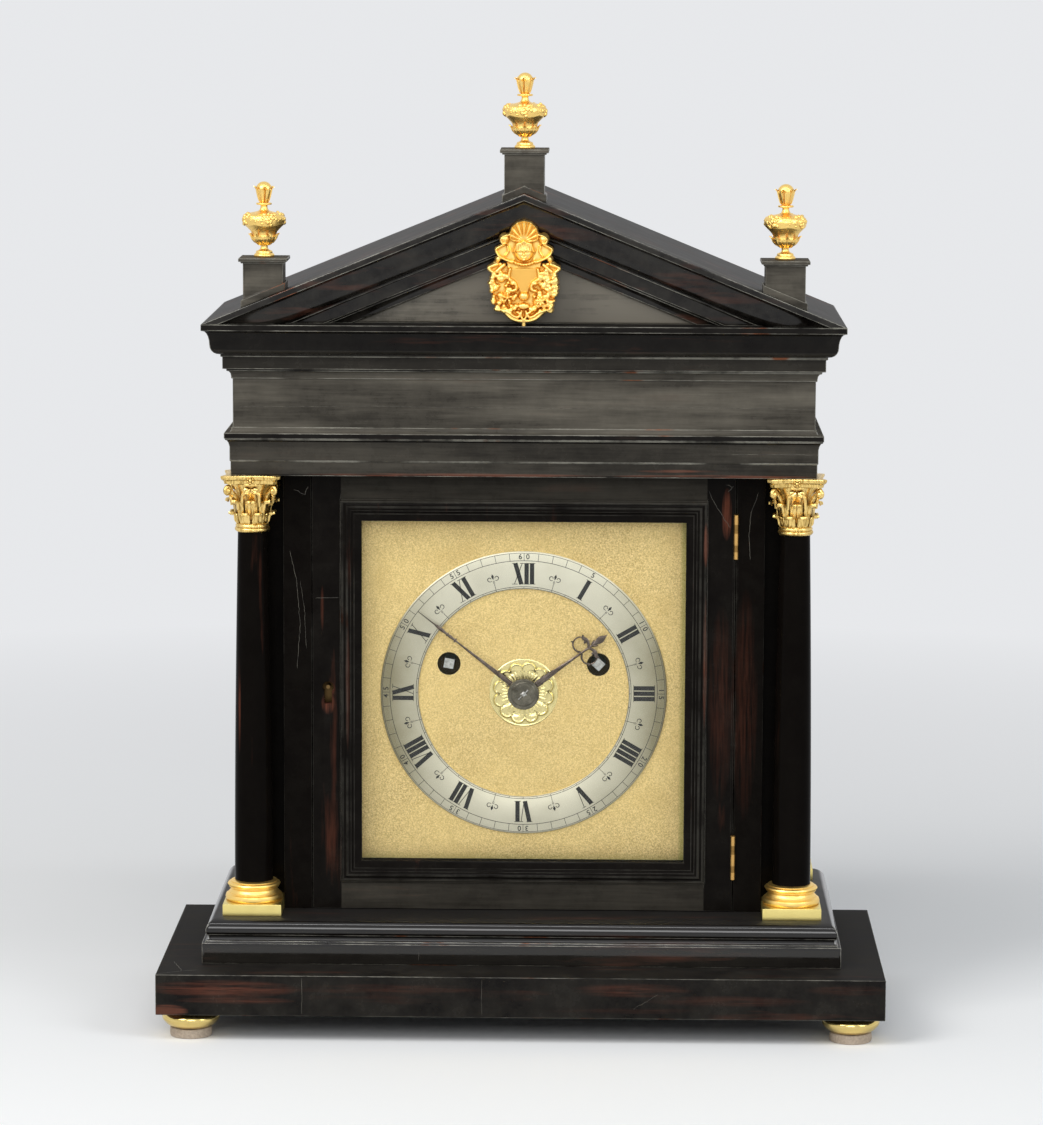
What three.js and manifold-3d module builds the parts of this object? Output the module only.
// An architectural table clock: an ebony-veneered case with four free-standing columns, a pediment with
// three urn finials, a glazed front door, a dial with a chapter ring, and a two-train movement behind it.
// Units are millimetres. X runs to the right seen from the front, Y to the back and Z up.
// The origin is on the standing surface under the middle of the plinth.

import * as THREE from 'three';
import { mergeVertices } from 'three/addons/utils/BufferGeometryUtils.js';
import Module from 'manifold-3d';

const wasm = await Module();
wasm.setup();

// ---------------------------------------------------------------- driving dimensions

const runGap = 0.3; // between pieces that slide into each other or turn past each other
const seatGap = 0.1; // between a piece and the sloping or curved face that it is glued on
const doorGap = 0.5; // all round a closed door

const padHeight = 5.5;
const padRadius = 12.5;
const footHeight = 10.5;
const footRadius = 17;
const footInset = 19; // from the plinth's edges to a foot's centre

const plinthMargin = 24.5; // from the tier's side to the plinth's
const plinthDepth = 188;
const plinthHeight = 24;

const tierMargin = 11.35; // from a column base's side to the tier's
const tierSetback = 29; // from the plinth's front face to the tier's
const tierFasciaHeight = 12.3;
const tierMouldingHeight = 13.7; // groove, nose and ovolo above the fascia
const tierMouldingInset = 10.8;

const caseHeight = 260; // between the tier and the entablature
const stileWidth = 16.6; // of the front surround, between the door and a corner notch
const caseReturn = 12.75; // from a corner notch out to the case's side
const caseSetback = 62.4; // from the plinth's front face to the door's
const casePanelThickness = 9.8;
const surroundThickness = 12.8;
const maskThickness = 2; // the part of a surround that stands behind its door
const maskClearance = 1; // from the door's sight edge out to the front mask's opening
const backMaskClearance = 15; // the same at the back

const columnSquare = 34.5; // side of the base plinth and of the abacus
const columnSetback = 57.6; // from the plinth's front face to a front column's axis
const columnPlinthHeight = 6.9;
const columnBaseHeight = 19;
const capitalHeight = 34;
const shaftFootRadius = 11.3;
const shaftNeckRadius = 8.6;

const corniceMargin = 9.95; // from a column base's side to the cornice lip
const corniceSetback = 30.5; // from the plinth's front face to the cornice lip
const architraveHeight = 28.2;
const friezeHeight = 28.1;
const corniceHeight = 32.7;
const corniceProjection = 16.9; // from the frieze to the lip
const architraveProjection = 4.9; // from the frieze to the nose of the architrave

const pedimentRise = 75.8;
const tympanumRecess = 1.6; // behind the frieze

const pedestalWidth = 23;
const pedestalCapOverhang = 2.5;
const pedestalCapHeight = 2;
const pedestalSkirtHeight = 4.3;
const pedestalSetback = 4.5; // behind the cornice lip
const centrePedestalHeight = 23.2; // from the ridge to the block's top
const sidePedestalHeight = 21.5; // from the roof at the block's middle to its top
const sidePedestalInset = 35.6; // from the cornice lip to the pedestal's middle

const finialHeight = 43.5;
const finialRadius = 13.6;

const mountWidth = 41.5;
const mountHeight = 58.3;
const mountThickness = 4.5;
const mountRise = 2.3; // above the ledge on top of the cornice
const mountSetback = 4.4; // from the cornice lip to the mount's back
const mountPinRadius = 1.2;

const doorWidth = 247.5;
const doorThickness = 10.5;
const sightWidth = 189.8;
const sightHeight = 202.3;
const sightCentreAboveTier = 130.6;
const doorMouldingWidth = 13;
const doorMouldingRelief = 3;
const glassThickness = 2;
const glassSetback = 3.2; // from the door's front face to the glass
const glassLap = 2.6; // how far the glass reaches behind the sight edge

const hingeKnuckleRadius = 1.4;
const hingePinRadius = 0.7;
const hingeLeafThickness = 0.9;
const hingeLength = 26;
const hingeLeafDepth = 9;
const upperHingeZ = 289.7;
const lowerHingeZ = 98.8;

const lockWidth = 15;
const lockHeight = 34;
const lockDepth = 4;
const lockEdge = 2.2; // from the door's free edge to the lock
const lockZ = 195;
const keyholeRadius = 3.4;
const keyholeRise = 4; // of the keyhole's round above the middle of the lock
const keyholeSlotWidth = 4.6;
const keyholeDrop = 10;
const keyholeFromEdge = 9;
const drillPinRadius = 1.2;
const boltHeight = 8;
const boltThickness = 1.7;
const boltLength = 13;
const boltThrow = 5;

const backDoorThickness = 9.5;
const backDoorPinRadius = 1.2;
const backDoorPinLength = 3;
const backSightWidth = 176;
const backSightHeight = 196;

const dialWidth = 196;
const dialHeight = 208;
const dialThickness = 2;
const dialDrop = 2.3; // of the dial's centre below the middle of the door's sight
const ringOuterRadius = 84.5;
const ringInnerRadius = 62.1;
const ringThickness = 1.5;
const windingHoleRadius = 6.9;
const windingX = 44.1;
const windingRise = 17.1; // of the winding squares above the dial's centre
const windingSquareSide = 5.8;
const centreHoleRadius = 6;

const hourHandLength = 60.4;
const minuteHandLength = 79;
const handThickness = 1;
const handAirGap = 0.5; // between one hand and the next
const hourHandAngle = 54; // degrees clockwise from twelve
const minuteHandAngle = 308;
const handBossRadius = 6.6;
const handBore = 2.4;
const hourPipeRadius = 4.4;
const hourPipeLength = 9;
const colletRadius = 9.4;
const colletThickness = 1.6;
const centreArborRadius = 2.1;

const plateWidth = 148;
const plateHeight = 168;
const plateThickness = 2.5;
const plateSpacing = 45; // between the inside faces of the two plates
const dialFootLength = 19.5; // from the dial plate to the front plate
const pillarRadius = 3.5;
const pillarInset = 8;
const dialFootRadius = 2.5;
const dialFootInset = 24;
const seatBoardThickness = 10;
const seatBoardRise = 34; // from the case floor to the underside of the seat board
const seatRailWidth = 9;
const seatRailHeight = 10;

const barrelRadius = 24;
const barrelLength = 31;
const greatWheelRadius = 26.6;
const greatWheelThickness = 2.2;
const greatWheelTeeth = 32;
const centreWheelRadius = 17.5;
const centreWheelTeeth = 24;
const fuseeSmallRadius = 10;
const fuseeLargeRadius = 20;
const fuseeTurns = 6;
const arborRadius = 2.5;
const pivotRadius = 1.5;
const goingBarrelDrop = 61.4; // of the going barrel below its fusee

const pendulumLength = 138;
const bobRadius = 12;
const bobThickness = 11;
const pendulumRodRadius = 1;
const vergeDrop = 10; // of the verge arbor below the top of the plates
const pendulumBehindPlate = 8;

const bellRadius = 30;
const bellHeight = 20;
const bellWall = 2;
const bellRise = 12; // from the top of the plates to the bell's mouth
const bellPostRadius = 2.5;
const hammerRadius = 4;
const hammerGap = 1.5; // between the hammer at rest and the bell
const hammerPivotInset = 16; // from the plates' edge to the hammer arbor
const hammerPivotDrop = 16; // of the hammer arbor below the top of the plates

// ---------------------------------------------------------------- levels and places worked out from them

const footZ = padHeight;
const plinthZ = footZ + footHeight;
const tierZ = plinthZ + plinthHeight;
const caseZ = tierZ + tierFasciaHeight + tierMouldingHeight;
const entablatureZ = caseZ + caseHeight;
const friezeZ = entablatureZ + architraveHeight;
const corniceZ = friezeZ + friezeHeight;
const pedimentZ = corniceZ + corniceHeight;

const frontY = -plinthDepth / 2;
const backY = plinthDepth / 2;
const tierY = frontY + tierSetback;
const doorY = frontY + caseSetback;
const surroundBackY = doorY + surroundThickness;
const lipY = frontY + corniceSetback;
const friezeY = lipY + corniceProjection;
const tympanumY = friezeY + tympanumRecess;

const columnFrontY = frontY + columnSetback;
const columnRearY = backY - columnSquare / 2;
const notchX = doorWidth / 2 + doorGap + stileWidth; // inner face of a corner notch
const columnX = notchX + runGap + columnSquare / 2;
const caseWidth = 2 * (notchX + caseReturn);
const tierWidth = 2 * (columnX + columnSquare / 2 + tierMargin);
const plinthWidth = tierWidth + 2 * plinthMargin;
const corniceWidth = 2 * (columnX + columnSquare / 2 + corniceMargin);
const sidePedestalX = corniceWidth / 2 - sidePedestalInset;
const notchFrontY = columnFrontY + columnSquare / 2 + runGap;
const notchRearY = columnRearY - columnSquare / 2 - runGap;
const caseInnerX = notchX - casePanelThickness;
const backInnerY = backY - surroundThickness;

const doorBottomZ = caseZ + doorGap;
const doorTopZ = entablatureZ - doorGap;
const sightZ = caseZ + sightCentreAboveTier;
const glassY = doorY + glassSetback;
const dialCentreZ = sightZ - dialDrop;
const hingeX = doorWidth / 2 + doorGap / 2;
const hingeY = doorY - hingeKnuckleRadius;

const dialY = surroundBackY + runGap; // front face of the dial plate
const dialBackY = dialY + dialThickness;
const ringY = dialY - ringThickness;
const hourHandY = ringY - handAirGap - handThickness;
const minuteHandY = hourHandY - handAirGap - handThickness;
const colletY = minuteHandY - runGap - colletThickness;
const frontPlateY = dialBackY + dialFootLength;
const frontPlateBackY = frontPlateY + plateThickness;
const backPlateY = frontPlateBackY + plateSpacing;
const backPlateBackY = backPlateY + plateThickness;
const seatRailZ = caseZ + seatBoardRise - seatRailHeight;
const seatBoardZ = caseZ + seatBoardRise;
const plateZ = seatBoardZ + seatBoardThickness;
const plateTopZ = plateZ + plateHeight;
const windingZ = dialCentreZ + windingRise;
const bellY = (frontPlateBackY + backPlateY) / 2;
const bellMouthZ = plateTopZ + bellRise;
const vergeZ = plateTopZ - vergeDrop;
const hammerPivotX = -plateWidth / 2 + hammerPivotInset;

const roofSlope = Math.atan2(pedimentRise, corniceWidth / 2);

// ---------------------------------------------------------------- materials

const finish = (color, roughness, metalness, more = {}) =>
  new THREE.MeshStandardMaterial({ color, roughness, metalness, ...more });

const ebony = finish(0x1b1512, 0.42, 0);
const oak = finish(0x6b4a2e, 0.7, 0);
const giltBrass = finish(0xd9a03a, 0.3, 1);
const plainBrass = finish(0xb99a4e, 0.35, 1);
const dialGilt = finish(0xcdb071, 0.55, 1);
const silvered = finish(0xc8c3ae, 0.45, 0.8);
const steel = finish(0x55504c, 0.35, 1);
const glass = finish(0xe8efe8, 0.05, 0, { transparent: true, opacity: 0.25 });
const felt = finish(0xcdb9a2, 0.95, 0);

// ---------------------------------------------------------------- geometry helpers

const point = (x, y) => new THREE.Vector2(x, y);

// A solid for joining and cutting, from a closed geometry.
function solid(geometry) {
  const plain = geometry.clone();
  plain.deleteAttribute('normal');
  plain.deleteAttribute('uv');
  const merged = mergeVertices(plain, 1e-4);
  const vertProperties = new Float32Array(merged.attributes.position.array);
  const triVerts = new Uint32Array(merged.index.array);
  return new wasm.Manifold(new wasm.Mesh({ numProp: 3, vertProperties, triVerts }));
}

function geometryOf(manifold) {
  const mesh = manifold.getMesh();
  const geometry = new THREE.BufferGeometry();
  geometry.setAttribute('position', new THREE.BufferAttribute(mesh.vertProperties, 3));
  geometry.setIndex(new THREE.BufferAttribute(mesh.triVerts, 1));
  geometry.computeVertexNormals();
  return geometry;
}

const join = (...pieces) => geometryOf(pieces.map(solid).reduce((sum, piece) => sum.add(piece)));

const cut = (body, ...tools) =>
  geometryOf(tools.map(solid).reduce((rest, tool) => rest.subtract(tool), solid(body)));

const keep = (body, tool) => geometryOf(solid(body).intersect(solid(tool)));

// A block between two corners.
function block(x0, x1, y0, y1, z0, z1) {
  const geometry = new THREE.BoxGeometry(x1 - x0, y1 - y0, z1 - z0);
  geometry.translate((x0 + x1) / 2, (y0 + y1) / 2, (z0 + z1) / 2);
  return geometry;
}

// A front-view outline in X and Z, made solid between two depths.
function slab(shape, y0, y1, curveSegments = 12) {
  const geometry = new THREE.ExtrudeGeometry(shape, { depth: y1 - y0, bevelEnabled: false, curveSegments });
  geometry.rotateX(Math.PI / 2);
  geometry.translate(0, y1, 0);
  return geometry;
}

// A plan outline in X and Y, made solid between two heights.
function prism(shape, z0, z1, curveSegments = 12) {
  const geometry = new THREE.ExtrudeGeometry(shape, { depth: z1 - z0, bevelEnabled: false, curveSegments });
  geometry.translate(0, 0, z0);
  return geometry;
}

// A profile of [radius, height] from the bottom of its axis to the top, turned about Z.
function turned(profile, segments) {
  const geometry = new THREE.LatheGeometry(profile.map(([r, z]) => point(r, z)), segments);
  geometry.rotateX(Math.PI / 2);
  return geometry;
}

// The same, turned about an axis along Y: each profile point is [radius, y].
function turnedAlongY(profile, segments, x, z) {
  const geometry = new THREE.LatheGeometry(profile.map(([r, y]) => point(r, y)), segments);
  geometry.translate(x, 0, z);
  return geometry;
}

// A round bar along Z or along Y.
const postZ = (radius, z0, z1, x, y, segments = 12) =>
  turned([[0, z0], [radius, z0], [radius, z1], [0, z1]], segments).translate(x, y, 0);

const barY = (radius, y0, y1, x, z, segments = 12) =>
  turnedAlongY([[0, y0], [radius, y0], [radius, y1], [0, y1]], segments, x, z);

// Rings of points joined one after another, with a flat convex face at each end.
function loft(rings) {
  const sides = rings[0].length;
  const positions = rings.flat(2);
  const index = [];
  for (let ring = 0; ring + 1 < rings.length; ring += 1) {
    for (let i = 0; i < sides; i += 1) {
      const a = ring * sides + i;
      const b = ring * sides + ((i + 1) % sides);
      index.push(a, b, b + sides, a, b + sides, a + sides);
    }
  }
  const last = (rings.length - 1) * sides;
  for (let i = 1; i + 1 < sides; i += 1) {
    index.push(0, i + 1, i);
    index.push(last, last + i, last + i + 1);
  }
  const geometry = new THREE.BufferGeometry();
  geometry.setAttribute('position', new THREE.Float32BufferAttribute(positions, 3));
  geometry.setIndex(index);
  return geometry;
}

// A mitred moulding round a block that is flush at the back: the profile is [inset, height].
function mitred(profile, width, front, back) {
  return loft(profile.map(([inset, z]) => {
    const x = width / 2 - inset;
    const y = front + inset;
    return [[-x, y, z], [x, y, z], [x, back, z], [-x, back, z]];
  }));
}

// A quarter of an ellipse between two profile points, leaving the first one upwards or outwards.
function quarter(from, to, leaves, steps = 4) {
  const points = [];
  for (let i = 1; i <= steps; i += 1) {
    const angle = (i / steps) * Math.PI / 2;
    const slow = 1 - Math.cos(angle);
    const fast = Math.sin(angle);
    const u = leaves === 'up' ? slow : fast;
    const v = leaves === 'up' ? fast : slow;
    points.push([from[0] + (to[0] - from[0]) * u, from[1] + (to[1] - from[1]) * v]);
  }
  return points;
}

function rectangle(x0, x1, z0, z1) {
  return new THREE.Shape([point(x0, z0), point(x1, z0), point(x1, z1), point(x0, z1)]);
}

function circle(radius, x = 0, z = 0) {
  const path = new THREE.Path();
  path.absarc(x, z, radius, 0, Math.PI * 2, true);
  return path;
}

function disc(radius, x = 0, z = 0) {
  const shape = new THREE.Shape();
  shape.absarc(x, z, radius, 0, Math.PI * 2, false);
  return shape;
}

// A toothed outline round the origin, with flat-topped teeth.
function gearOutline(teeth, tipRadius, toothDepth) {
  const points = [];
  for (let tooth = 0; tooth < teeth; tooth += 1) {
    for (const [share, radius] of [[0, -toothDepth], [0.4, -toothDepth], [0.55, 0], [0.85, 0]]) {
      const angle = ((tooth + share) / teeth) * Math.PI * 2;
      points.push(point(Math.cos(angle) * (tipRadius + radius), Math.sin(angle) * (tipRadius + radius)));
    }
  }
  return new THREE.Shape(points);
}

const clock = new THREE.Group();

function add(name, geometry, material, parent = clock) {
  const mesh = new THREE.Mesh(geometry, material);
  mesh.name = name;
  parent.add(mesh);
  return mesh;
}

const corners = [
  ['front_left', -1, -1],
  ['front_right', 1, -1],
  ['rear_left', -1, 1],
  ['rear_right', 1, 1],
];

// ---------------------------------------------------------------- feet, plinth and tier

// Profile of a bun foot as shares of its radius and height, from the pad up.
const bunProfile = [[0, 0], [0.66, 0], [0.88, 0.16], [1, 0.5], [0.95, 0.8], [0.72, 1], [0, 1]];

for (const [corner, sideX, sideY] of corners) {
  const x = sideX * (plinthWidth / 2 - footInset);
  const y = sideY * (plinthDepth / 2 - footInset);
  const bun = turned(bunProfile.map(([r, h]) => [r * footRadius, footZ + h * footHeight]), 18);
  add(`foot_${corner}`, bun.translate(x, y, 0), plainBrass);
  add(`foot_pad_${corner}`, postZ(padRadius, 0, padHeight, x, y, 18), felt);
}

add('base_plinth',
  block(-plinthWidth / 2, plinthWidth / 2, frontY, backY, plinthZ, tierZ), ebony);

// Groove, nose and ovolo, as shares of the moulding's inset and height above the fascia.
function tierProfile() {
  const at = (inset, rise) => [
    inset * tierMouldingInset,
    tierZ + tierFasciaHeight + rise * tierMouldingHeight,
  ];
  return [
    [0, tierZ],
    at(0, 0),
    at(0.18, 0),
    at(0.18, 0.07),
    at(0.34, 0.1),
    at(0.34, 0.26),
    at(0.23, 0.32),
    at(0.19, 0.44),
    at(0.19, 0.56),
    ...quarter(at(0.24, 0.62), at(1, 1), 'up', 6),
  ];
}

const backDoorPinX = doorWidth / 2 - backDoorThickness / 2;
const backDoorPinY = backY - backDoorThickness / 2;
const backDoorPinHole = (z) => postZ(
  backDoorPinRadius + runGap,
  z - backDoorPinLength - runGap,
  z + backDoorPinLength + runGap,
  backDoorPinX,
  backDoorPinY,
);

add('base_moulding', cut(mitred(tierProfile(), tierWidth, tierY, backY), backDoorPinHole(caseZ)), ebony);

// ---------------------------------------------------------------- case

// Plan of one side panel with its two corner notches, and the rail that carries the seat board.
function sidePanel(side) {
  const plan = new THREE.Shape([
    point(caseInnerX, surroundBackY),
    point(notchX, surroundBackY),
    point(notchX, notchFrontY),
    point(caseWidth / 2, notchFrontY),
    point(caseWidth / 2, notchRearY),
    point(notchX, notchRearY),
    point(notchX, backInnerY),
    point(caseInnerX, backInnerY),
  ]);
  const rail = block(caseInnerX - seatRailWidth, caseInnerX + 1,
    surroundBackY + seatRailHeight, backInnerY - seatRailHeight, seatRailZ, seatBoardZ);
  const geometry = join(prism(plan, caseZ, entablatureZ), rail);
  return side > 0 ? geometry : mirroredX(geometry);
}

// A mirror image in X, with its faces turned to point outwards again.
function mirroredX(geometry) {
  const mirrored = geometry.clone().scale(-1, 1, 1);
  const index = mirrored.index.array;
  for (let i = 0; i < index.length; i += 3) {
    [index[i], index[i + 1]] = [index[i + 1], index[i]];
  }
  mirrored.computeVertexNormals();
  return mirrored;
}

add('side_panel_left', sidePanel(-1), ebony);
add('side_panel_right', sidePanel(1), ebony);

// A frame with a shallow recess for its door and an opening in the mask behind.
function surround(y0, y1, recessY0, recessY1, openingWidth, openingHeight) {
  const frame = block(-notchX, notchX, y0, y1, caseZ, entablatureZ);
  const recess = block(-doorWidth / 2 - doorGap, doorWidth / 2 + doorGap, recessY0, recessY1,
    caseZ - 1, entablatureZ + 1);
  const opening = block(-openingWidth / 2, openingWidth / 2, y0 - 1, y1 + 1,
    sightZ - openingHeight / 2, sightZ + openingHeight / 2);
  return cut(frame, recess, opening);
}

const boltY = doorY + doorThickness - lockDepth / 2;
const mortise = block(
  -doorWidth / 2 - doorGap - boltThrow - runGap,
  -doorWidth / 2,
  boltY - boltThickness / 2 - runGap,
  boltY + boltThickness / 2 + runGap,
  lockZ - boltHeight / 2 - runGap,
  lockZ + boltHeight / 2 + runGap,
);

// The room that a hinge leaf takes in the wood beside it.
function leafRecess(z, side) {
  const edge = side > 0 ? doorWidth / 2 + doorGap : doorWidth / 2;
  const thickness = hingeLeafThickness + runGap;
  return block(
    side > 0 ? edge - 1 : edge - thickness,
    side > 0 ? edge + thickness : edge + 1,
    doorY - 1,
    hingeY + hingeLeafDepth + runGap,
    z - hingeLength / 2 - runGap,
    z + hingeLength / 2 + runGap,
  );
}

const maskFrontY = surroundBackY - maskThickness;

add('front_surround', cut(
  surround(doorY, surroundBackY, doorY - 1, maskFrontY,
    sightWidth + 2 * maskClearance, sightHeight + 2 * maskClearance),
  mortise,
  leafRecess(upperHingeZ, 1),
  leafRecess(lowerHingeZ, 1),
), ebony);

add('back_surround', surround(backInnerY, backY, backInnerY + maskThickness, backY + 1,
  backSightWidth + 2 * backMaskClearance, backSightHeight + 2 * backMaskClearance), ebony);

// Architrave, frieze and cornice in one mitred block, as [inset from the lip, height].
function entablatureProfile() {
  const frieze = corniceProjection;
  const nose = frieze - architraveProjection;
  const a = (out, rise) => [frieze - out * architraveProjection, entablatureZ + rise * architraveHeight];
  return [
    a(0.28, 0),
    a(0.28, 0.29),
    a(0.39, 0.31),
    a(0.39, 0.6),
    ...quarter(a(0.45, 0.61), a(0.9, 0.75), 'up', 3),
    a(0.9, 0.775),
    [nose, entablatureZ + 0.775 * architraveHeight],
    [nose, entablatureZ + 0.89 * architraveHeight],
    a(0.46, 0.9),
    ...quarter(a(0.46, 0.9), a(0.16, 0.97), 'out', 3),
    a(0.16, 1),
    [frieze, friezeZ],
    ...corniceProfile().map(([inset, rise]) => [inset, corniceZ + rise]),
  ];
}

// The cornice alone, from the top of the frieze to the lip, as [inset, height above the frieze].
function corniceProfile() {
  const c = (inset, rise) => [inset * corniceProjection, rise * corniceHeight];
  return [
    c(1, 0),
    c(0.95, 0.01),
    c(0.95, 0.045),
    ...quarter(c(0.95, 0.05), c(0.8, 0.15), 'up', 3),
    c(0.8, 0.18),
    c(0.675, 0.19),
    c(0.675, 0.4),
    c(0.615, 0.41),
    c(0.615, 0.45),
    ...quarter(c(0.585, 0.455), c(0.27, 0.63), 'out', 5),
    ...quarter(c(0.27, 0.63), c(0.05, 0.885), 'up', 5),
    c(0, 0.89),
    c(0, 1),
  ];
}

add('entablature', cut(
  mitred(entablatureProfile(), corniceWidth, lipY, backY),
  backDoorPinHole(entablatureZ),
), ebony);

// ---------------------------------------------------------------- pediment

// The same cornice run up both rakes: nested triangles, each further in and further back, cut off flat
// at the level of the cornice lip.
function pediment() {
  const apexZ = pedimentZ + pedimentRise;
  const floorZ = pedimentZ - corniceHeight * 1.5;
  const triangle = (y, depth) => {
    const top = apexZ - depth / Math.cos(roofSlope);
    const bottom = floorZ + depth;
    const half = (top - bottom) / Math.tan(roofSlope);
    return [[0, y, top], [half, y, bottom], [-half, y, bottom]];
  };
  const rake = corniceProfile().map(([inset, rise]) => triangle(lipY + inset, corniceHeight - rise));
  const whole = loft([
    triangle(tympanumY, corniceHeight),
    ...rake,
    triangle(backY, 0),
  ]);
  const above = block(-corniceWidth, corniceWidth, frontY, backY + 1, pedimentZ, apexZ + 1);
  return keep(whole, above);
}

add('pediment', pediment(), ebony);

const roofZ = (x) => pedimentZ + pedimentRise * (1 - Math.abs(x) / (corniceWidth / 2));
const pedestalY = lipY + pedestalSetback + pedestalWidth / 2;

// Points just above the roof between two places, with one over the ridge where they span it.
function alongRoof(x0, x1, lift) {
  const places = x0 < 0 && x1 > 0 ? [x0, 0, x1] : [x0, x1];
  return places.map((x) => point(x, roofZ(x) + seatGap + lift));
}

// A block that saddles the roof, with a skirt that follows the slope and a thin cap.
function pedestal(x, topZ) {
  const half = pedestalWidth / 2;
  const skirtHalf = half + pedestalCapOverhang / 2;
  const capHalf = half + pedestalCapOverhang;
  const bodyShape = [...alongRoof(x - half, x + half, 0), point(x + half, topZ), point(x - half, topZ)];
  const skirtShape = [
    ...alongRoof(x - skirtHalf, x + skirtHalf, 0),
    ...alongRoof(x - skirtHalf, x + skirtHalf, pedestalSkirtHeight).reverse(),
  ];
  const body = slab(new THREE.Shape(bodyShape), pedestalY - half, pedestalY + half);
  const skirt = slab(new THREE.Shape(skirtShape), pedestalY - skirtHalf, pedestalY + skirtHalf);
  const neck = block(x - skirtHalf, x + skirtHalf, pedestalY - skirtHalf, pedestalY + skirtHalf,
    topZ - pedestalCapHeight / 2, topZ);
  const cap = block(x - capHalf, x + capHalf, pedestalY - capHalf, pedestalY + capHalf,
    topZ, topZ + pedestalCapHeight);
  return join(body, skirt, neck, cap);
}

// Profile of an urn finial as shares of its widest radius and its height.
const finialProfile = [
  [0, 0], [0.41, 0], [0.41, 0.05], [0.18, 0.11], [0.18, 0.165], [0.5, 0.22], [0.65, 0.3], [0.6, 0.325],
  [0.95, 0.44], [1, 0.505], [0.9, 0.58], [0.5, 0.635], [0.17, 0.67], [0.17, 0.69], [0.35, 0.705],
  [0.35, 0.725], [0.19, 0.75], [0.42, 0.9], [0.32, 0.965], [0, 1],
];

const pedestals = [
  ['left', -sidePedestalX, roofZ(sidePedestalX) + sidePedestalHeight],
  ['centre', 0, roofZ(0) + centrePedestalHeight],
  ['right', sidePedestalX, roofZ(sidePedestalX) + sidePedestalHeight],
];

for (const [place, x, topZ] of pedestals) {
  add(`pedestal_${place}`, pedestal(x, topZ), ebony);
  const urn = turned(finialProfile.map(([r, h]) => [r * finialRadius, h * finialHeight]), 10);
  add(`finial_${place}`, urn.translate(x, pedestalY, topZ + pedestalCapHeight), giltBrass);
}

// ---------------------------------------------------------------- cast mount on the tympanum

// Right half of the outline from the foot up, as shares of the half width and of the height.
const mountOutline = [
  [0.1, 0], [0.42, 0.03], [0.66, 0.1], [0.72, 0.14], [0.84, 0.18], [0.94, 0.28], [0.98, 0.36], [0.95, 0.47],
  [1, 0.545], [0.8, 0.6], [0.74, 0.65], [0.76, 0.72], [0.7, 0.78], [0.68, 0.86], [0.56, 0.885],
  [0.42, 0.88], [0.4, 0.93], [0.26, 0.98], [0.08, 1],
];

function mirroredOutline(half, width, height, x, z) {
  const right = half.map(([u, v]) => point(x + u * width / 2, z + v * height));
  const left = half.map(([u, v]) => point(x - u * width / 2, z + v * height)).reverse();
  return new THREE.Shape([...right, ...left]);
}

// A low dome of an oval boss on the mount.
function boss(x, z, radiusX, radiusZ, y, rise) {
  const dome = new THREE.SphereGeometry(1, 10, 6);
  dome.scale(radiusX, rise, radiusZ);
  dome.translate(x, y, z);
  return dome;
}

function tympanumMount() {
  const z = pedimentZ + mountRise;
  const back = lipY + mountSetback;
  const front = back - mountThickness;
  const at = (v) => z + v * mountHeight;
  const half = mountWidth / 2;
  const middle = (front + back) / 2;
  const plate = slab(mirroredOutline(mountOutline, mountWidth, mountHeight, 0, z), front, back);
  const shield = slab(mirroredOutline([[0.22, 0], [0.3, 0.35], [0.52, 0.62], [0.42, 1]],
    mountWidth, mountHeight * 0.38, 0, at(0.22)), front - mountThickness * 0.45, middle);
  const sides = [-1, 1].flatMap((side) => [
    boss(side * half * 0.66, at(0.3), half * 0.27, mountHeight * 0.13, front, mountThickness * 0.58),
    boss(side * half * 0.52, at(0.82), half * 0.16, mountHeight * 0.06, front, mountThickness * 0.49),
  ]);
  return join(
    plate,
    shield,
    postZ(mountPinRadius, pedimentZ, at(0.04), 0, middle, 10),
    barY(mountPinRadius, middle, tympanumY - seatGap, 0, at(0.4), 10),
    boss(0, at(0.91), half * 0.38, mountHeight * 0.085, front, mountThickness * 0.53),
    boss(0, at(0.74), half * 0.3, mountHeight * 0.1, front, mountThickness * 0.93),
    boss(0, at(0.13), half * 0.4, mountHeight * 0.07, front, mountThickness * 0.58),
    ...sides,
  );
}

add('tympanum_mount', tympanumMount(), giltBrass);

// ---------------------------------------------------------------- columns

// Two tori with a hollow between them, as shares of half the plinth's side and of the height above it.
const baseMoulding = [
  [0.9, 0], [0.97, 0.12], [0.97, 0.28], [0.84, 0.44], [0.8, 0.56], [0.84, 0.66], [0.9, 0.72], [0.9, 0.88],
  [0.7, 1],
];

function columnBase() {
  const half = columnSquare / 2;
  const z = caseZ + columnPlinthHeight;
  const height = columnBaseHeight - columnPlinthHeight;
  const tori = baseMoulding.map(([r, h]) => [r * half, z + h * height]);
  return join(
    block(-half, half, -half, half, caseZ, z),
    turned([[0, z - 1], [tori[0][0], z - 1], ...tori, [0, z + height]], 16),
  );
}

// The shaft swells a little before it tapers to its neck.
function columnShaft() {
  const z0 = caseZ + columnBaseHeight;
  const z1 = entablatureZ - capitalHeight;
  const rings = 5;
  const profile = [[0, z0]];
  for (let i = 0; i <= rings; i += 1) {
    const rise = i / rings;
    const radius = shaftNeckRadius + (shaftFootRadius - shaftNeckRadius) * (1 - rise ** 1.7);
    profile.push([radius, z0 + rise * (z1 - z0)]);
  }
  profile.push([0, z1]);
  return turned(profile, 16);
}

// One acanthus leaf: a tapering strip with a raised midrib that hugs the bell and curls over at its tip.
// The path is [radius, height] and the widths go with it.
function leaf(path, widths, thickness, angle) {
  const rings = path.map(([radius, z], i) => [
    [radius - thickness, -widths[i] / 2, z],
    [radius + thickness, 0, z],
    [radius - thickness, widths[i] / 2, z],
  ]);
  return loft(rings).rotateZ(angle);
}

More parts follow.
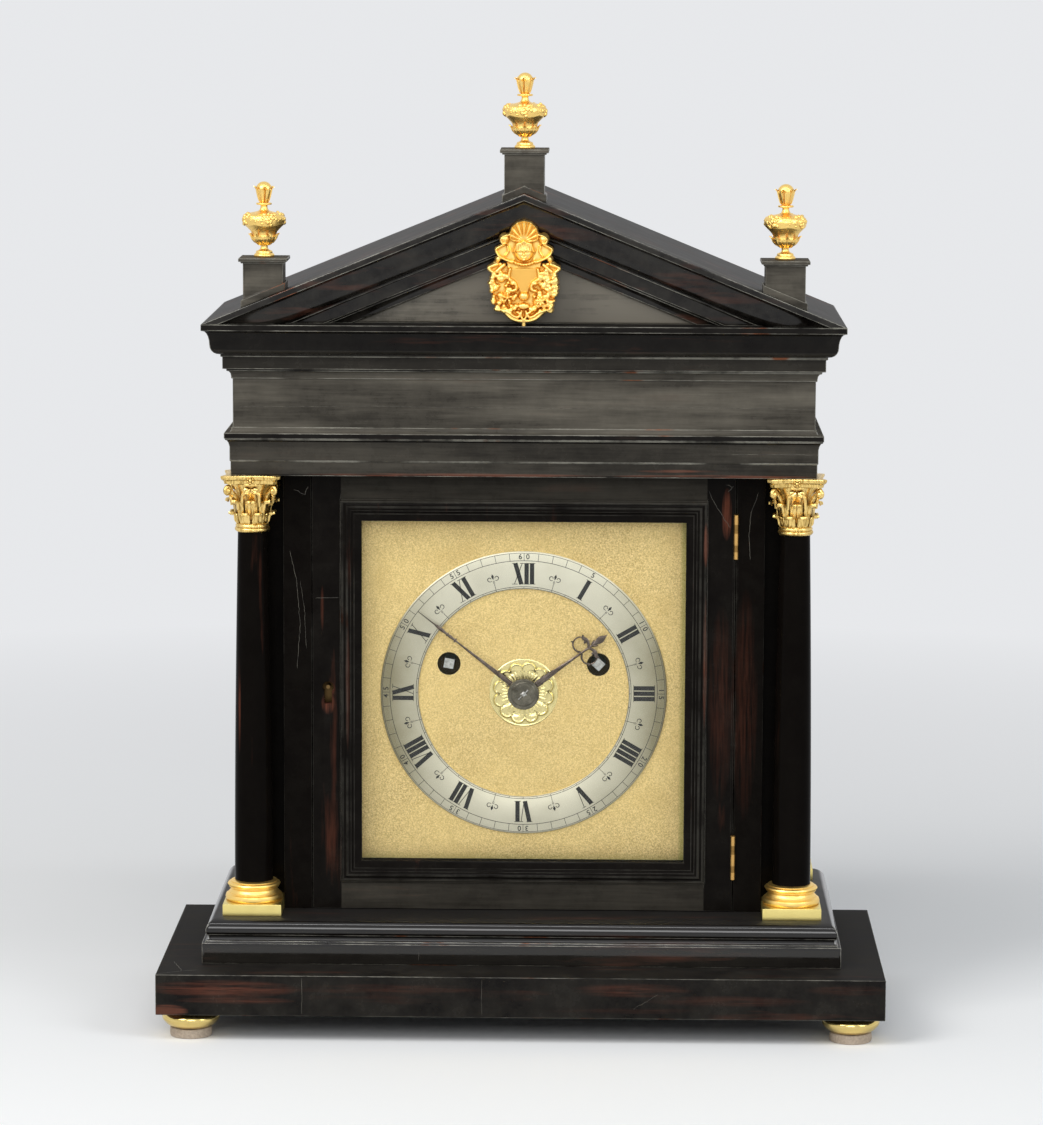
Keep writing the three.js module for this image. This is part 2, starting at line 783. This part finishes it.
// The concave-sided abacus with cut horns, one ring of it.
function abacusRing(half, z) {
  const horn = half * 0.86;
  const hollow = half * 0.8;
  const ring = [];
  for (let side = 0; side < 4; side += 1) {
    const turn = side * Math.PI / 2;
    for (const along of [-1, -0.4, 0.4, 1]) {
      const x = hollow + (half - hollow) * along * along;
      const y = along * horn;
      ring.push([x * Math.cos(turn) - y * Math.sin(turn), x * Math.sin(turn) + y * Math.cos(turn), z]);
    }
  }
  return ring;
}

function columnCapital() {
  const z0 = entablatureZ - capitalHeight;
  const half = columnSquare / 2;
  const h = (share) => z0 + share * capitalHeight;
  const neck = shaftNeckRadius;
  const bell = turned([
    [0, z0], [neck + 0.8, z0], [neck + 2.4, h(0.08)], [neck + 2.4, h(0.13)], [neck, h(0.2)],
    [neck + 0.4, h(0.55)], [neck + 4, h(0.83)], [neck + 4, h(0.88)], [0, h(0.88)],
  ], 10).rotateZ(0.1);
  const abacus = loft([
    abacusRing(half * 0.88, h(0.86)),
    abacusRing(half * 0.91, h(0.92)),
    abacusRing(half, h(0.95)),
    abacusRing(half, h(1)),
  ]);
  const pieces = [bell, abacus];
  for (let side = 0; side < 4; side += 1) {
    const angle = side * Math.PI / 2;
    const corner = angle + Math.PI / 4;
    const high = [[neck - 0.5, h(0.15)], [neck + 1.2, h(0.5)], [neck + 4.6, h(0.62)]];
    const low = [[neck - 0.5, h(0.16)], [neck + 2.6, h(0.42)]];
    const stalk = [[neck - 1, h(0.44)], [half * 1.12, h(0.8)]];
    const scroll = new THREE.CylinderGeometry(half * 0.15, half * 0.15, half * 0.22, 6);
    const flower = new THREE.OctahedronGeometry(half * 0.095).rotateX(0.3);
    pieces.push(
      leaf(high, [7, 6.5, 4], 1, angle),
      leaf(low, [7, 5], 1.2, corner),
      leaf(stalk, [4, 2.6], 1.3, corner),
      scroll.rotateX(0.1).translate(half * 1.12, 0, h(0.75)).rotateZ(corner),
      flower.translate(half * 0.86, 0, h(0.93)).rotateZ(angle),
    );
  }
  return join(...pieces);
}

const capitalSolid = columnCapital();
const shaftSolid = columnShaft();
const baseSolid = columnBase();

for (const [corner, sideX, sideY] of corners) {
  const column = new THREE.Group();
  column.position.set(sideX * columnX, sideY < 0 ? columnFrontY : columnRearY, 0);
  add(`column_base_${corner}`, baseSolid, giltBrass, column);
  add(`column_shaft_${corner}`, shaftSolid, ebony, column);
  add(`column_capital_${corner}`, capitalSolid, giltBrass, column);
  clock.add(column);
}

// ---------------------------------------------------------------- front door

// A reeded moulding round an opening, as [share of its width outwards, share of its relief forwards].
const doorReeds = [
  [0, 0.1], [0.1, 0.35], [0.26, 0.52], [0.34, 0.62], [0.4, 0.5], [0.48, 0.86], [0.56, 0.78], [0.62, 1],
  [0.7, 0.9], [0.74, 0.6], [0.84, 0.75], [0.92, 0.6], [0.92, 0.3], [1, 0.3],
];

function mouldingRing(profile, innerHalfX, innerHalfZ, width, y, relief) {
  const ring = profile.concat([[1, -0.5], [0, -0.5]]);
  const loops = ring.map(([out, rise]) => {
    const x = innerHalfX + out * width;
    const z = innerHalfZ + out * width;
    const depth = y - rise * relief;
    return [[-x, depth, sightZ - z], [x, depth, sightZ - z], [x, depth, sightZ + z], [-x, depth, sightZ + z]];
  });
  const index = [];
  loops.forEach((loop, k) => {
    const next = (k + 1) % loops.length;
    for (let i = 0; i < 4; i += 1) {
      const j = (i + 1) % 4;
      index.push(k * 4 + i, next * 4 + j, k * 4 + j, k * 4 + i, next * 4 + i, next * 4 + j);
    }
  });
  const geometry = new THREE.BufferGeometry();
  geometry.setAttribute('position', new THREE.Float32BufferAttribute(loops.flat(2), 3));
  geometry.setIndex(index);
  return geometry;
}

const keyholeX = -doorWidth / 2 + keyholeFromEdge;
const keyholeZ = lockZ + keyholeRise;

function keyhole() {
  const hole = disc(keyholeRadius, keyholeX, keyholeZ);
  const half = keyholeSlotWidth / 2;
  const slot = rectangle(keyholeX - half, keyholeX + half, keyholeZ - keyholeDrop, keyholeZ);
  return join(slab(hole, doorY - 2, doorY + doorThickness, 16), slab(slot, doorY - 2, doorY + doorThickness));
}

const doorBackY = doorY + doorThickness;
const lockX0 = -doorWidth / 2 + lockEdge;
const lockX1 = lockX0 + lockWidth;

function frontDoor() {
  const halfX = sightWidth / 2;
  const halfZ = sightHeight / 2;
  const board = block(-doorWidth / 2, doorWidth / 2, doorY, doorBackY, doorBottomZ, doorTopZ);
  const sight = block(-halfX, halfX, doorY - doorThickness, doorBackY + 1, sightZ - halfZ, sightZ + halfZ);
  const rebate = block(-halfX - glassLap - runGap, halfX + glassLap + runGap, glassY - runGap, doorBackY + 1,
    sightZ - halfZ - glassLap - runGap, sightZ + halfZ + glassLap + runGap);
  const lockRoom = block(lockX0 - runGap, lockX1 + runGap, doorBackY - lockDepth - runGap, doorBackY + 1,
    lockZ - lockHeight / 2 - runGap, lockZ + lockHeight / 2 + runGap);
  const boltRoom = block(-doorWidth / 2 - 1, lockX0, boltY - boltThickness / 2 - runGap, doorBackY + 1,
    lockZ - boltHeight / 2 - runGap, lockZ + boltHeight / 2 + runGap);
  const moulding = mouldingRing(doorReeds, halfX, halfZ, doorMouldingWidth, doorY, doorMouldingRelief);
  return cut(join(cut(board, sight), moulding), rebate, lockRoom, boltRoom, keyhole(),
    leafRecess(upperHingeZ, -1), leafRecess(lowerHingeZ, -1));
}

const door = new THREE.Group();
clock.add(door);

add('front_door', frontDoor(), ebony, door);

add('front_door_glass', block(
  -sightWidth / 2 - glassLap,
  sightWidth / 2 + glassLap,
  glassY,
  glassY + glassThickness,
  sightZ - sightHeight / 2 - glassLap,
  sightZ + sightHeight / 2 + glassLap,
), glass, door);

// A box lock let into the back of the door's stile, with the pin that the pipe key turns on.
function doorLock() {
  const box = block(lockX0, lockX1, doorBackY - lockDepth, doorBackY,
    lockZ - lockHeight / 2, lockZ + lockHeight / 2);
  const boltWay = block(lockX0 - 1, lockX0 + boltLength + runGap, boltY - boltThickness / 2 - runGap,
    boltY + boltThickness / 2 + runGap, lockZ - boltHeight / 2 - runGap, lockZ + boltHeight / 2 + runGap);
  const pin = barY(drillPinRadius, doorY + 1, boltY, keyholeX, keyholeZ, 10);
  return cut(join(box, pin), boltWay);
}

add('door_lock', doorLock(), plainBrass, door);

add('lock_bolt', block(
  lockX0 + runGap,
  lockX0 + boltLength,
  boltY - boltThickness / 2,
  boltY + boltThickness / 2,
  lockZ - boltHeight / 2,
  lockZ + boltHeight / 2,
), steel, door);

// Butt hinges: the case leaf has the two end knuckles and the pin, the door leaf the middle knuckle.
const knuckleShare = 1 / 3;

function hingeLeaf(z, side) {
  const edge = side > 0 ? doorWidth / 2 + doorGap : doorWidth / 2;
  const plate = block(
    side > 0 ? edge : edge - hingeLeafThickness,
    side > 0 ? edge + hingeLeafThickness : edge,
    hingeY,
    hingeY + hingeLeafDepth,
    z - hingeLength / 2,
    z + hingeLength / 2,
  );
  const middle = hingeLength * knuckleShare / 2;
  const barrel = (radius, z0, z1) => postZ(radius, z0, z1, hingeX, hingeY, 10);
  const low = z - hingeLength / 2;
  const high = z + hingeLength / 2;
  if (side > 0) {
    return join(
      cut(plate, barrel(hingeKnuckleRadius + runGap, z - middle - runGap, z + middle + runGap)),
      barrel(hingeKnuckleRadius, low, z - middle - runGap / 2),
      barrel(hingeKnuckleRadius, z + middle + runGap / 2, high),
      barrel(hingePinRadius, low, high),
    );
  }
  const whole = join(plate, barrel(hingeKnuckleRadius, z - middle, z + middle));
  return cut(whole,
    barrel(hingePinRadius + runGap / 2, low - 1, high + 1),
    barrel(hingeKnuckleRadius + runGap, low - 1, z - middle),
    barrel(hingeKnuckleRadius + runGap, z + middle, high + 1));
}

for (const [place, z] of [['upper', upperHingeZ], ['lower', lowerHingeZ]]) {
  add(`hinge_door_leaf_${place}`, hingeLeaf(z, -1), plainBrass, door);
  add(`hinge_case_leaf_${place}`, hingeLeaf(z, 1), plainBrass);
}

// ---------------------------------------------------------------- back door

// A glazed board with a rounded heel, hung on two pins.
function backDoor() {
  const half = backDoorThickness / 2;
  const plan = new THREE.Shape();
  plan.moveTo(-doorWidth / 2, backY - backDoorThickness);
  plan.lineTo(backDoorPinX, backY - backDoorThickness);
  plan.absarc(backDoorPinX, backDoorPinY, half, -Math.PI / 2, Math.PI / 2, false);
  plan.lineTo(-doorWidth / 2, backY);
  plan.closePath();
  const sight = block(-backSightWidth / 2, backSightWidth / 2, backInnerY, backY + 1,
    sightZ - backSightHeight / 2, sightZ + backSightHeight / 2);
  const rebate = block(
    -backSightWidth / 2 - glassLap - runGap,
    backSightWidth / 2 + glassLap + runGap,
    backInnerY,
    backY - glassSetback - glassThickness / 2 + runGap,
    sightZ - backSightHeight / 2 - glassLap - runGap,
    sightZ + backSightHeight / 2 + glassLap + runGap,
  );
  const pins = postZ(backDoorPinRadius, doorBottomZ - backDoorPinLength, doorTopZ + backDoorPinLength,
    backDoorPinX, backDoorPinY, 12);
  return join(cut(prism(plan, doorBottomZ, doorTopZ, 8), sight, rebate), pins);
}

add('back_door', backDoor(), ebony);

add('back_door_glass', block(
  -backSightWidth / 2 - glassLap,
  backSightWidth / 2 + glassLap,
  backY - glassSetback - 1.5 * glassThickness,
  backY - glassSetback - glassThickness / 2,
  sightZ - backSightHeight / 2 - glassLap,
  sightZ + backSightHeight / 2 + glassLap,
), glass);

// ---------------------------------------------------------------- dial and hands

const dialFeet = [-1, 1].flatMap((sideX) => [-1, 1].map((sideZ) => [
  sideX * (plateWidth / 2 - dialFootInset),
  (plateZ + plateTopZ) / 2 + sideZ * (plateHeight / 2 - dialFootInset),
]));

function dialPlate() {
  const face = rectangle(-dialWidth / 2, dialWidth / 2, dialCentreZ - dialHeight / 2,
    dialCentreZ + dialHeight / 2);
  face.holes.push(circle(centreHoleRadius, 0, dialCentreZ));
  for (const side of [-1, 1]) {
    face.holes.push(circle(windingHoleRadius, side * windingX, windingZ));
  }
  const feet = dialFeet.map(([x, z]) =>
    barY(dialFootRadius, dialBackY - 0.5, frontPlateBackY + 2, x, z, 8));
  return join(slab(face, dialY, dialBackY, 9), ...feet);
}

add('dial_plate', dialPlate(), dialGilt);

const ringShape = disc(ringOuterRadius, 0, dialCentreZ);
ringShape.holes.push(circle(ringInnerRadius, 0, dialCentreZ));
add('chapter_ring', slab(ringShape, ringY, dialY, 26), silvered);

// Hands are drawn pointing at twelve round their own centre and then turned to the time.
const hands = new THREE.Group();
hands.position.z = dialCentreZ;
clock.add(hands);

const clockwise = (degrees) => THREE.MathUtils.degToRad(degrees);

function hourHand() {
  const shaft = new THREE.Shape([
    point(-2.2, handBossRadius * 0.6), point(2.2, handBossRadius * 0.6), point(1.6, hourHandLength * 0.42),
    point(-1.6, hourHandLength * 0.42),
  ]);
  const leafTip = new THREE.Shape([
    point(-1.4, hourHandLength * 0.4), point(1.4, hourHandLength * 0.4), point(2.6, hourHandLength * 0.62),
    point(4.2, hourHandLength * 0.72), point(1.6, hourHandLength * 0.84), point(0, hourHandLength),
    point(-1.6, hourHandLength * 0.84),
    point(-4.2, hourHandLength * 0.72),
    point(-2.6, hourHandLength * 0.62),
  ]);
  const y0 = hourHandY;
  const y1 = hourHandY + handThickness;
  const pieces = [slab(shaft, y0, y1), slab(leafTip, y0, y1), slab(disc(handBossRadius), y0, y1, 8)];
  for (const side of [-1, 1]) {
    const loop = disc(5.4, side * 4.6, hourHandLength * 0.5);
    loop.holes.push(circle(3.4, side * 4.8, hourHandLength * 0.5));
    pieces.push(slab(loop, y0, y1, 6));
  }
  const pipe = barY(hourPipeRadius, y0 + 0.2, y0 + hourPipeLength, 0, 0, 14);
  return cut(join(...pieces, pipe), barY(handBore, y0 - 1, y0 + hourPipeLength + 1, 0, 0, 14));
}

function minuteHand() {
  const y0 = minuteHandY;
  const y1 = minuteHandY + handThickness;
  const blade = new THREE.Shape([
    point(-2, 0), point(2, 0), point(1.7, minuteHandLength * 0.62), point(0.35, minuteHandLength),
    point(-0.35, minuteHandLength), point(-1.7, minuteHandLength * 0.62),
  ]);
  const knops = [0.6, 0.71].map((share) => slab(disc(2.9, 0, minuteHandLength * share), y0, y1, 6));
  const whole = join(slab(blade, y0, y1), slab(disc(handBossRadius), y0, y1, 10), ...knops);
  return cut(whole, barY(handBore, y0 - 1, y1 + 1, 0, 0, 14));
}

add('hour_hand', hourHand(), steel, hands).rotation.y = clockwise(hourHandAngle);
add('minute_hand', minuteHand(), steel, hands).rotation.y = clockwise(minuteHandAngle);

const colletProfile = [
  [handBore, colletY], [colletRadius * 0.7, colletY], [colletRadius * 0.8, colletY + 0.6],
  [colletRadius, colletY + 1], [colletRadius, colletY + colletThickness],
  [handBore, colletY + colletThickness], [handBore, colletY],
];
add('hand_collet', turnedAlongY(colletProfile, 16, 0, 0), steel, hands).rotation.y =
  clockwise(minuteHandAngle);

// ---------------------------------------------------------------- movement

add('seat_board', block(-caseInnerX + runGap, caseInnerX - runGap, surroundBackY + seatRailHeight,
  backInnerY - seatRailHeight, seatBoardZ, plateZ), oak);

const pillars = [-1, 1].flatMap((sideX) => [-1, 1].map((sideZ) => [
  sideX * (plateWidth / 2 - pillarInset),
  (plateZ + plateTopZ) / 2 + sideZ * (plateHeight / 2 - pillarInset),
]));

const goingBarrelZ = windingZ - goingBarrelDrop;
const hammerPivotZ = plateTopZ - hammerPivotDrop;
const trainPivots = [
  [-windingX, windingZ, arborRadius],
  [windingX, windingZ, arborRadius],
  [windingX, goingBarrelZ, pivotRadius],
  [hammerPivotX, hammerPivotZ, pivotRadius],
];

function plateFace(extraHoles) {
  const face = rectangle(-plateWidth / 2, plateWidth / 2, plateZ, plateTopZ);
  face.holes.push(circle(centreArborRadius + runGap, 0, dialCentreZ));
  for (const [x, z, radius] of [...trainPivots, ...extraHoles]) {
    face.holes.push(circle(radius + runGap, x, z));
  }
  return face;
}

add('front_plate', slab(plateFace([
  ...pillars.map(([x, z]) => [x, z, pivotRadius]),
  ...dialFeet.map(([x, z]) => [x, z, dialFootRadius]),
]), frontPlateY, frontPlateBackY, 4), plainBrass);

// Back plate with its four baluster pillars, the cock of the verge and the stand of the bell.
function backPlate() {
  const pillarProfile = [
    [0, frontPlateY], [pivotRadius, frontPlateY], [pivotRadius, frontPlateBackY + seatGap],
    [pillarRadius, frontPlateBackY + seatGap], [pillarRadius * 0.6, frontPlateBackY + 8],
    [pillarRadius, (frontPlateBackY + backPlateY) / 2], [pillarRadius * 0.6, backPlateY - 8],
    [pillarRadius, backPlateY + 0.5], [0, backPlateY + 0.5],
  ];
  const plate = slab(plateFace([[0, vergeZ, pivotRadius]]), backPlateY, backPlateBackY, 4);
  const strap = block(-5, 5, backPlateY, backPlateBackY, plateTopZ - 1, plateTopZ + plateThickness);
  const arm = block(-5, 5, bellY - 5, backPlateBackY, plateTopZ, plateTopZ + plateThickness);
  const crownZ = bellMouthZ + bellHeight - bellWall - bellPostRadius * 0.2; // inside, over the post's rim
  const post = postZ(bellPostRadius, plateTopZ + 1, crownZ - seatGap, 0, bellY, 12);
  return join(plate, strap, arm, post, ...pillars.map(([x, z]) => turnedAlongY(pillarProfile, 8, x, z)));
}

add('back_plate', backPlate(), plainBrass);

// A wheel with its arbor along Y: front and rear ends, and what sits between them.
function arbor(x, z, radius, y0, y1) {
  return barY(radius, y0, y1, x, z, 12);
}

const gearAt = (teeth, radius, depth, y, x, z) =>
  slab(gearOutline(teeth, radius, depth), y, y + greatWheelThickness).translate(x, 0, z);

// The square end that a key or a hand fits on.
function squareEnd(side, y0, y1, x, z, turn) {
  const half = side / 2;
  return block(-half, half, y0, y1, -half, half).rotateY(THREE.MathUtils.degToRad(turn)).translate(x, 0, z);
}

const rearPivotY = backPlateBackY - 0.5;
const trainY = frontPlateBackY + 3;

function centreWheel() {
  const wheelY = backPlateY - 6;
  return join(
    arbor(0, dialCentreZ, centreArborRadius, colletY + runGap, rearPivotY),
    squareEnd(centreArborRadius * 1.35, colletY - 1.2, colletY + 1, 0, dialCentreZ, minuteHandAngle + 15),
    gearAt(centreWheelTeeth, centreWheelRadius, 1.8, wheelY, 0, dialCentreZ),
  );
}

function goingFusee() {
  const profile = [[0, trainY]];
  const rings = fuseeTurns * 2;
  for (let i = 0; i <= rings; i += 1) {
    const share = i / rings;
    const groove = i % 2 ? -0.9 : 0;
    const radius = fuseeSmallRadius + (fuseeLargeRadius - fuseeSmallRadius) * share ** 0.7 + groove;
    profile.push([radius, trainY + share * (barrelLength - 4)]);
  }
  profile.push([0, trainY + barrelLength - 4]);
  return join(
    turnedAlongY(profile, 14, windingX, windingZ),
    gearAt(greatWheelTeeth, greatWheelRadius, 2.2, trainY + barrelLength - 4.2, windingX, windingZ),
    arbor(windingX, windingZ, arborRadius, frontPlateY - 1, rearPivotY),
    squareEnd(windingSquareSide, dialY + 0.5, frontPlateY - runGap, windingX, windingZ, 42),
  );
}

function goingBarrel() {
  const r = barrelRadius;
  const profile = [
    [0, trainY], [r, trainY], [r, trainY + 1.6], [r - 1, trainY + 2.2], [r - 1, trainY + barrelLength - 2.2],
    [r, trainY + barrelLength - 1.6], [r, trainY + barrelLength], [0, trainY + barrelLength],
  ];
  return join(
    turnedAlongY(profile, 18, windingX, goingBarrelZ),
    arbor(windingX, goingBarrelZ, pivotRadius, frontPlateY + 0.3, rearPivotY),
  );
}

function strikeBarrel() {
  const r = barrelRadius;
  const profile = [[0, trainY], [r, trainY], [r, trainY + barrelLength - 3], [0, trainY + barrelLength - 3]];
  return join(
    turnedAlongY(profile, 18, -windingX, windingZ),
    gearAt(greatWheelTeeth, greatWheelRadius, 2.2, trainY + barrelLength - 3.2, -windingX, windingZ),
    arbor(-windingX, windingZ, arborRadius, frontPlateY - 1, rearPivotY),
    squareEnd(windingSquareSide, dialY + 0.5, frontPlateY - runGap, -windingX, windingZ, 10),
  );
}

add('centre_wheel', centreWheel(), plainBrass);
add('going_fusee', goingFusee(), plainBrass);
add('going_barrel', goingBarrel(), plainBrass);
add('strike_barrel', strikeBarrel(), plainBrass);

// Short bob pendulum fixed to the rear end of the verge.
function pendulum() {
  const rodY = backPlateBackY + pendulumBehindPlate;
  const bobZ = vergeZ - pendulumLength + bobRadius;
  const bob = turnedAlongY([
    [0, rodY - bobThickness / 2], [bobRadius * 0.5, rodY - bobThickness * 0.42],
    [bobRadius * 0.9, rodY - bobThickness * 0.15],
    [bobRadius, rodY],
    [bobRadius * 0.9, rodY + bobThickness * 0.15],
    [bobRadius * 0.5, rodY + bobThickness * 0.42], [0, rodY + bobThickness / 2],
  ], 20, 0, bobZ);
  return join(
    postZ(pendulumRodRadius, bobZ - bobRadius - 4, vergeZ + 4, 0, rodY, 8),
    arbor(0, vergeZ, pivotRadius, backPlateY - 1, rodY + 2),
    bob,
  );
}

add('pendulum', pendulum(), plainBrass);

function bell() {
  const outer = [];
  const inner = [];
  const rings = 4;
  for (let i = 0; i <= rings; i += 1) {
    const angle = (i / rings) * Math.PI / 2;
    const flare = i === 0 ? 1.5 : 0;
    const mouth = bellRadius - bellWall;
    outer.push([(bellRadius + flare) * Math.cos(angle), bellMouthZ + bellHeight * Math.sin(angle)]);
    inner.push([mouth * Math.cos(angle), bellMouthZ + (bellHeight - bellWall) * Math.sin(angle)]);
  }
  outer[rings][0] = 0;
  inner[rings][0] = 0;
  const shell = turned([...inner.reverse(), ...outer], 20);
  const nut = postZ(bellPostRadius * 1.4, bellMouthZ + bellHeight - 1, bellMouthZ + bellHeight + 3, 0, 0, 8);
  return join(shell, nut).translate(0, bellY, 0);
}

add('bell', bell(), plainBrass);

// The hammer's arbor runs between the plates; its arm reaches up beside the bell's rim.
function bellHammer() {
  const headX = -(bellRadius + 1.5 + hammerGap + hammerRadius);
  const headZ = bellMouthZ + hammerRadius * 0.5;
  const reach = Math.hypot(headX - hammerPivotX, headZ - hammerPivotZ);
  const lean = Math.atan2(headX - hammerPivotX, headZ - hammerPivotZ);
  const arm = block(-1.2, 1.2, bellY - 1.2, bellY + 1.2, 0, reach).rotateY(lean)
    .translate(hammerPivotX, 0, hammerPivotZ);
  return join(
    arbor(hammerPivotX, hammerPivotZ, pivotRadius, frontPlateY + 0.3, rearPivotY),
    arm,
    new THREE.SphereGeometry(hammerRadius, 8, 6).translate(headX, bellY, headZ),
  );
}

add('bell_hammer', bellHammer(), steel);

export default clock;
